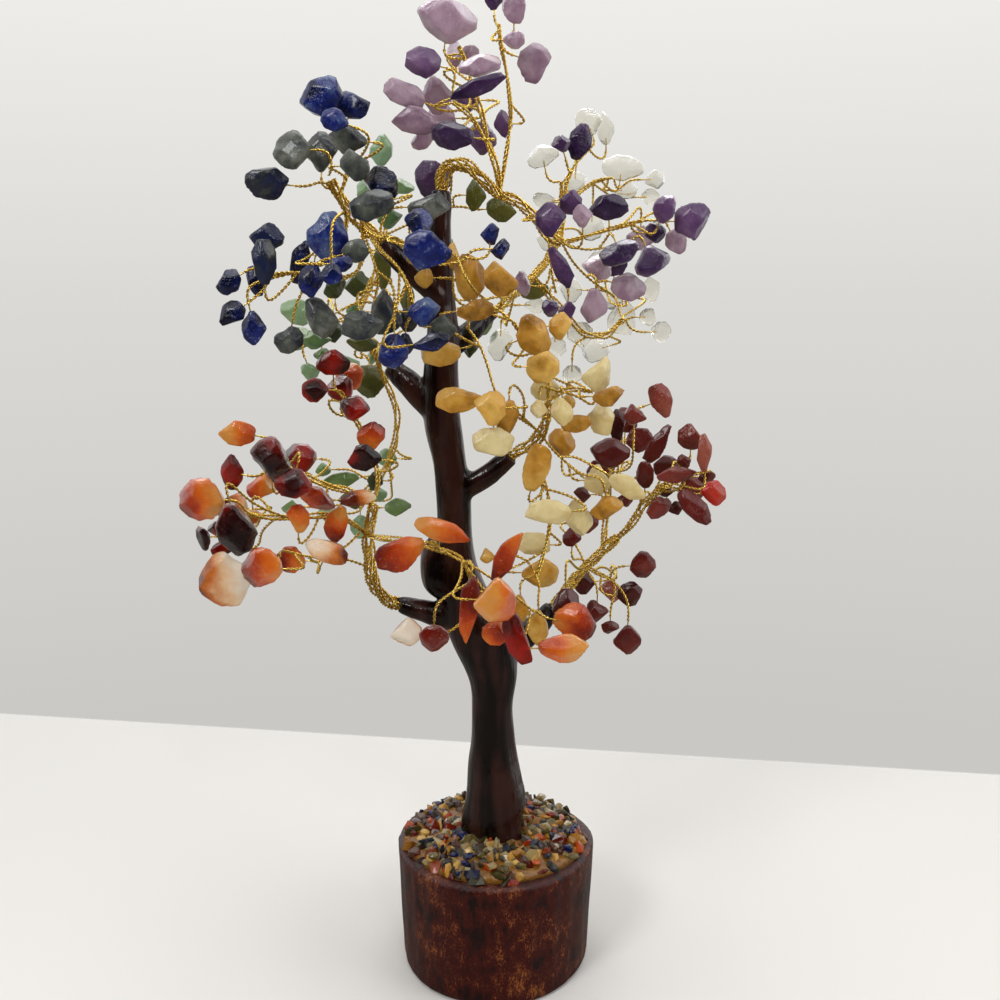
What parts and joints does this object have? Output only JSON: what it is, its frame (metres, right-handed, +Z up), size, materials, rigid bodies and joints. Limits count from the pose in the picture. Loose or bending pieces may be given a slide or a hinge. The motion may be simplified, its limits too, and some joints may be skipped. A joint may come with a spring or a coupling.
{
  "type": "gemstone tree ornament",
  "caption": "Ornamental tree with a dark glossy trunk on a log base, gravel at its foot, and bendable gold wire branches that carry drilled tumbled stone chips.",
  "frame": {"origin": "middle of the log base's underside", "axes": "+Z up along the trunk, the tree's front towards -Y"},
  "size_m": [0.1497, 0.0989, 0.2741],
  "materials": {
    "lacquered_bark": "lacquered",
    "glue_bed": "glossy",
    "dark_trunk": "lacquered",
    "gold_wire": "polished",
    "gravel_lapis": "crushed",
    "gravel_yellow": "crushed",
    "gravel_carnelian": "crushed",
    "gravel_green": "crushed",
    "gravel_quartz": "crushed",
    "gravel_amethyst": "crushed",
    "carnelian_cream": "tumbled",
    "carnelian_orange": "tumbled",
    "carnelian_red": "tumbled",
    "jasper_brick": "tumbled",
    "jasper_dark": "tumbled",
    "yellow_golden": "tumbled",
    "yellow_pale": "tumbled",
    "green_green": "tumbled",
    "green_olive": "tumbled",
    "quartz_clear": "tumbled",
    "lapis_blue": "tumbled",
    "lapis_grey": "tumbled",
    "amethyst_deep": "tumbled",
    "amethyst_pale": "tumbled"
  },
  "bodies": {
    "base_and_trunk": {"base_log": "lacquered_bark", "gravel_bed": "glue_bed", "gravel_lapis": "gravel_lapis", "gravel_yellow": "gravel_yellow", "gravel_carnelian": "gravel_carnelian", "gravel_green": "gravel_green", "gravel_quartz": "gravel_quartz", "gravel_amethyst": "gravel_amethyst", "trunk": "dark_trunk", "carnelian_wire_root": "gold_wire", "jasper_wire_root": "gold_wire", "yellow_wire_root": "gold_wire", "green_wire_root": "gold_wire", "quartz_wire_root": "gold_wire", "lapis_wire_root": "gold_wire", "amethyst_wire_root": "gold_wire"},
    "carnelian_branch": {"carnelian_wires": "gold_wire", "carnelian_loops": "gold_wire", "carnelian_chips_cream": "carnelian_cream", "carnelian_chips_orange": "carnelian_orange", "carnelian_chips_red": "carnelian_red"},
    "jasper_branch": {"jasper_wires": "gold_wire", "jasper_loops": "gold_wire", "jasper_chips_brick": "jasper_brick", "jasper_chips_dark": "jasper_dark"},
    "yellow_branch": {"yellow_wires": "gold_wire", "yellow_loops": "gold_wire", "yellow_chips_golden": "yellow_golden", "yellow_chips_pale": "yellow_pale"},
    "green_branch": {"green_wires": "gold_wire", "green_loops": "gold_wire", "green_chips_green": "green_green", "green_chips_olive": "green_olive"},
    "quartz_branch": {"quartz_wires": "gold_wire", "quartz_loops": "gold_wire", "quartz_chips_clear": "quartz_clear"},
    "lapis_branch": {"lapis_wires": "gold_wire", "lapis_loops": "gold_wire", "lapis_chips_blue": "lapis_blue", "lapis_chips_grey": "lapis_grey"},
    "amethyst_branch": {"amethyst_wires": "gold_wire", "amethyst_loops": "gold_wire", "amethyst_chips_deep": "amethyst_deep", "amethyst_chips_pale": "amethyst_pale"}
  },
  "joints": [
    {"name": "carnelian_bend", "type": "hinge", "parent": "base_and_trunk", "child": "carnelian_branch", "pos_m": [-0.02951, -0.00458, 0.11112], "axis": [-0.2167, -0.4324, -0.8752], "range_deg": [-6, 20]},
    {"name": "jasper_bend", "type": "hinge", "parent": "base_and_trunk", "child": "jasper_branch", "pos_m": [0.01851, 0.00773, 0.10776], "axis": [0.4382, 0.5684, -0.6963], "range_deg": [-17, 11]},
    {"name": "yellow_bend", "type": "hinge", "parent": "base_and_trunk", "child": "yellow_branch", "pos_m": [0.00692, -0.00228, 0.15359], "axis": [0.5169, -0.4263, -0.7424], "range_deg": [-13, 2]},
    {"name": "green_bend", "type": "hinge", "parent": "base_and_trunk", "child": "green_branch", "pos_m": [-0.0307, 0.00587, 0.17786], "axis": [-0.6861, -0.5188, -0.51], "range_deg": [-10, 13]},
    {"name": "quartz_bend", "type": "hinge", "parent": "base_and_trunk", "child": "quartz_branch", "pos_m": [0.00153, 0.00903, 0.19216], "axis": [0.5073, -0.8615, 0.0201], "range_deg": [-13, 9]},
    {"name": "lapis_bend", "type": "hinge", "parent": "base_and_trunk", "child": "lapis_branch", "pos_m": [-0.03212, -0.00679, 0.21142], "axis": [-0.712, 0.4143, -0.5669], "range_deg": [-4, 20]},
    {"name": "amethyst_bend", "type": "hinge", "parent": "base_and_trunk", "child": "amethyst_branch", "pos_m": [-0.01403, 0, 0.2258], "axis": [-0.9263, -0.3754, 0.0324], "range_deg": [-10, 20]}
  ]
}
